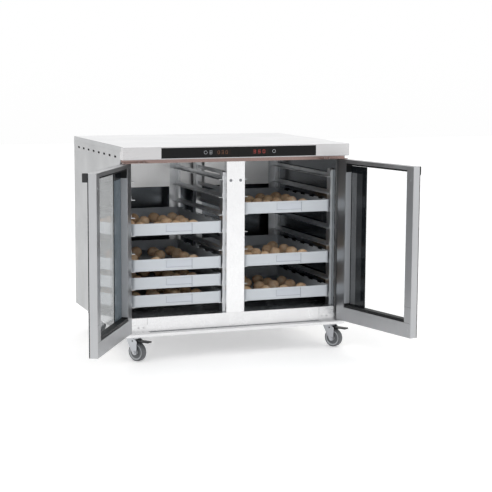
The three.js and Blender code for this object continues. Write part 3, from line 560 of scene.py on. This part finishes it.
def dough(name, low, seed):
    """The dough in one box."""
    rng = random.Random(seed)
    bm = bmesh.new()
    for row in range(ROWS):
        for column in range(ROWS):
            if rng.random() < GAPS:
                continue
            radius = rng.uniform(*BALL_RADII)
            x = low.x + BALL_START[0] + column * BALL_STEP[0] + rng.uniform(-0.01, 0.01)
            y = low.y + BALL_START[1] + row * BALL_STEP[1] + rng.uniform(-0.014, 0.014)
            centre = Vector((x, y, low.z + BOX_FLOOR + radius * FOOT + 0.0003))
            ball(bm, centre, radius, rng.randrange(10**6))
    made = settle(f"dough_{name.removeprefix('dough_box_')}", bm, DOUGH, 0, name)
    for polygon in made.data.polygons:
        polygon.use_smooth = True


def box_marks(name, low, high):
    """The label field, darker lines of painted shade along its foot and sides, and the ribs on a box's front.
    """
    width = (high.x - low.x) * 1000
    face = (low.y - FRONT) * 1000
    x0 = (low.x - MIDDLE) * 1000
    x1 = x0 + width
    z0 = low.z * 1000
    start, end = (x0 + share * width for share in LABEL_SHARES)
    foot, top = z0 + LABEL_FOOT, z0 + LABEL_TOP
    proud, back = face - 0.7, face + SINK
    # the lines at the label's foot and sides are painted shade
    bars = [
        (start, end, proud, back, foot, foot + LINE),
        (start, start + LINE, proud, back, foot, top),
        (end - 1.2, end + 1.2, proud - 0.3, back, z0 + 3, z0 + 45),
    ]
    solid(f"{name}_label_shade_lines", bars, BOX_LABEL_SHADE, 0.3, name)
    label = (start + LINE, end - 1.2, face - 0.25, back, foot + LINE, top)
    solid(f"{name}_label", [label], BOX_LABEL, 0, name)
    rib = (face - 0.5, back, z0 + 2.2, z0 + 2.2 + LINE)
    ribs = [(x0 + 16, start - 4, *rib), (end + 4, x1 - 16, *rib)]
    solid(f"{name}_ribs", ribs, BOX, 0.3, name)


for order, name in enumerate(sorted(n for n in nodes if n.startswith("dough_box"))):
    low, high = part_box(name)
    dough(name, low, SEED + order)
    box_marks(name, low, high)


# ---- control strip ----
CONTROL_FACE = (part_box("control_glass")[0].y - FRONT) * 1000
MARK = (CONTROL_FACE - 0.25, CONTROL_FACE + 0.1)  # depths of a lit mark
WINDOW = (CONTROL_FACE - 0.12, CONTROL_FACE + 0.1)  # depths of a display's window
WINDOW_FOOT, WINDOW_TOP = 870, 893
MARK_FOOT = 874
KEY_HEIGHT = 882
KEY_SIDES = 20
BARS = {0: "top low ul ur ll lr", 3: "top mid low ur lr", 5: "top mid low ul lr"}  # lit bars of a figure


def digit(x, width, height, value):
    """Lit bars of one seven-bar figure."""
    t = width * 0.2
    z = MARK_FOOT
    half = height / 2
    bars = {
        "top": (x, x + width, *MARK, z + height - t, z + height),
        "mid": (x, x + width, *MARK, z + half - t / 2, z + half + t / 2),
        "low": (x, x + width, *MARK, z, z + t),
        "ul": (x, x + t, *MARK, z + half, z + height),
        "ur": (x + width - t, x + width, *MARK, z + half, z + height),
        "ll": (x, x + t, *MARK, z, z + half),
        "lr": (x + width - t, x + width, *MARK, z, z + half),
    }
    return [bars[b] for b in BARS[value].split()]


def display(name, x0, x1, digits, lit):
    """A smoked window with lit figures."""
    solid(f"{name}_window", [(x0, x1, *WINDOW, WINDOW_FOOT, WINDOW_TOP)], SMOKED, 0)
    bars = []
    pitch = (x1 - x0 - 16) / len(digits)
    for k, value in enumerate(digits):
        bars += digit(x0 + 10 + k * pitch, pitch * 0.55, 15, value)
    solid(f"{name}_digits", bars, lit, 0)


def key_ring(name, x, inner=6.2, outer=7.6):
    """A touch key's lit ring, radii in mm."""
    bm = bmesh.new()
    for k in range(KEY_SIDES):
        a0, a1 = (2 * math.pi * (k + t) / KEY_SIDES for t in (0, 1))
        corners = []
        for depth in MARK:
            for radius, angle in ((inner, a0), (outer, a0), (outer, a1), (inner, a1)):
                spot = at(x + radius * math.cos(angle), depth, KEY_HEIGHT + radius * math.sin(angle))
                corners.append(bm.verts.new(spot))
        a, b = corners[:4], corners[4:]
        bm.faces.new(a)
        bm.faces.new(reversed(b))
        for n in range(4):
            bm.faces.new((a[n], b[n], b[(n + 1) % 4], a[(n + 1) % 4]))
    settle(name, bm, ICON, 0, "cabinet")


display("time_display", -109, -40, (0, 3, 0), AMBER)
display("heat_display", 52, 131, (3, 5, 0), RED)
icon_bars = [
    (-135, -123, *MARK, MARK_FOOT, 875), (-135, -123, *MARK, 889, 890),
    (-135, -134, *MARK, MARK_FOOT, 890), (-124, -123, *MARK, MARK_FOOT, 890),
    (-130.5, -127.5, *MARK, 877, 885),
]
solid("bar_icon", icon_bars, ICON, 0)
key_ring("power_key", -152)
key_ring("light_key", 156)


# ---- cabinet fittings ----
PAN_FACE = 45  # mm from the front to the sill and the mullion
BRACKET_SCREWS = 38.2  # mm from the front to the foot of the brackets' screw heads
LOWER_ROW, UPPER_ROW = 140, 875  # heights of the outer rows of screws and rivets, mm

trim = (-HALF + 3, HALF - 3, -0.6, SINK, 856.2, 858.4)
solid("fascia_trim", [trim], DOOR_STEEL, 0.2)
mullion_spots = [at(x, PAN_FACE + 0.1, 757) for x in (-22, 22)]
screws("mullion_screws", mullion_spots, (0, -1, 0), 6.5, 2.6, SCREW)
# a grey strip laid along the fold between the sill and the base pan: painted shade in the fold
pan_fold_shade = (-HALF + 60, HALF - 60, PAN_FACE - 0.8, PAN_FACE - 0.2, 125.4, 127.4)
solid("pan_fold_shade", [pan_fold_shade], SCREW, 0)
sill_seams = [(x, x + 0.8, PAN_FACE - 0.3, PAN_FACE + 0.2, 127, 185) for x in (-396, 395)]
solid("sill_seam", sill_seams, BLACK, 0)
for side, sign in SIGNS.items():
    for level, z in (("lower", 144), ("upper", 842)):
        spots = [at(sign * x, BRACKET_SCREWS, z) for x in (410, 432)]
        screws(f"bracket_screws_{side}_{level}", spots, (0, -1, 0), 3.4, 1.6, BRIGHT_WIDE)
    rivets = [at(sign * (HALF - 0.1), y, z) for y in (60, 430, 800) for z in (LOWER_ROW, 510)]
    screws(f"side_rivets_{side}", rivets, (sign, 0, 0), 2.6, 0.9, PANEL)
rear_screws = [at(x, REAR - 0.1, z) for x in (-490, -250, 0, 250, 490) for z in (LOWER_ROW, UPPER_ROW)]
rear_screws += [at(x, REAR - 0.1, z) for x in (-490, 490) for z in (380, 630)]
screws("rear_screws", rear_screws, (0, 1, 0), 4, 0.09, ZINC)

BOLT_HEAD = [(5.4, 0), (5.8, 0.5), (5.8, 3.2), (5.2, 3.7)]  # radius and height, mm
AXLE_NUT = [(8.6, 0), (8.6, 1.0), (7.0, 1.2), (7.0, 5.6), (6.2, 6.2)]
NUT_SIDES = 6
BOLT_INSET = 0.01  # m from a caster plate's edge
BOLT_DROP = 0.004  # m from a caster plate's top to its bolt heads
FORK_HALF = 0.022  # m from a wheel's middle to its fork's outside

for place in ("front_left", "front_right", "rear_left", "rear_right"):
    low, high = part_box(f"caster_plate_{place}")
    bm = bmesh.new()
    for x in (low.x + BOLT_INSET, high.x - BOLT_INSET):
        for y in (low.y + BOLT_INSET, high.y - BOLT_INSET):
            lathe(bm, BOLT_HEAD, Vector((x, y, high.z - BOLT_DROP)), (0, 0, -1), NUT_SIDES)
    settle(f"caster_bolts_{place}", bm, ZINC, 0.3, "cabinet")
    roll = joints[f"wheel_{place}_roll"]
    axis = Vector(roll["axis"]).normalized()
    bm = bmesh.new()
    for sign in SIGNS.values():
        end = Vector(roll["pos_m"]) + axis * sign * FORK_HALF
        lathe(bm, AXLE_NUT, end, axis * sign, NUT_SIDES)
    settle(f"axle_nuts_{place}", bm, ZINC, 0.4, f"swivel_{place}")


# ---- floor, light, camera ----
bm = bmesh.new()
bmesh.ops.create_grid(bm, x_segments=2, y_segments=2, size=14)
floor_mesh = bpy.data.meshes.new("floor")
bm.to_mesh(floor_mesh)
bm.free()
floor_paint = Paint("floor_paint", roughness=0.7)
floor_clouds = floor_paint.noise(scale=3)
floor_paint.color(floor_paint.ramp(floor_clouds, [(0.3, linear(0xFAFAFA)), (0.7, linear(0xFFFFFF))]))
floor_paint.shader.inputs["Emission Color"].default_value = (1, 1, 1, 1)
floor_paint.shader.inputs["Emission Strength"].default_value = 0.2  # keeps the shadow pale
floor = mesh_object("floor", floor_mesh, floor_paint.material)

world = bpy.data.worlds.new("studio")
scene.world = world
world.use_nodes = True
sky = world.node_tree
background = sky.nodes["Background"]
coord = sky.nodes.new("ShaderNodeTexCoord")
split = sky.nodes.new("ShaderNodeSeparateXYZ")
sky.links.new(coord.outputs["Generated"], split.inputs["Vector"])
ramp = sky.nodes.new("ShaderNodeValToRGB")
spread = sky.nodes.new("ShaderNodeMapRange")
spread.inputs["From Min"].default_value = -1
sky.links.new(split.outputs["Z"], spread.inputs["Value"])
sky.links.new(spread.outputs["Result"], ramp.inputs["Fac"])
stops = ramp.color_ramp.elements
stops[0].position = 0.2
stops[0].color = (0.9, 0.9, 0.9, 1)
stops[1].position = 0.5  # the horizon
stops[1].color = (1, 1, 1, 1)
sky.links.new(ramp.outputs["Color"], background.inputs["Color"])
background.inputs["Strength"].default_value = 1.0


def area_light(name, place, aim, size, power):
    """A rectangular light of size in metres and power in watts, turned to aim."""
    light = bpy.data.lights.new(name, "AREA")
    light.shape = "RECTANGLE"
    light.size, light.size_y = size
    light.energy = power
    made = bpy.data.objects.new(name, light)
    scene.collection.objects.link(made)
    made.location = place
    made.rotation_euler = (Vector(aim) - Vector(place)).to_track_quat("-Z", "Y").to_euler()


area_light("key", at(-2200, -2600, 3200), at(0, 300, 450), (2.4, 1.6), 30)
area_light("fill", at(2600, -2600, 1800), at(0, 300, 400), (2.0, 2.0), 10)

CAMERA_PLACE = at(-2048, -5456, 1283)
CAMERA_HEADING, CAMERA_PITCH, CAMERA_ROLL = -20.86, -7.84, 0.33  # degrees
camera_data = bpy.data.cameras.new("camera")
camera_data.lens = 101.06
camera_data.sensor_width = 36
camera_data.clip_end = 60
camera = bpy.data.objects.new("camera", camera_data)
scene.collection.objects.link(camera)
scene.camera = camera
heading = Matrix.Rotation(math.radians(CAMERA_HEADING), 4, "Z")
tilt = Matrix.Rotation(math.radians(90 + CAMERA_PITCH), 4, "X")
roll_turn = Matrix.Rotation(math.radians(CAMERA_ROLL), 4, "Z")
camera.matrix_world = Matrix.Translation(CAMERA_PLACE) @ heading @ tilt @ roll_turn

scene.view_settings.view_transform = "Standard"
scene.view_settings.look = "None"
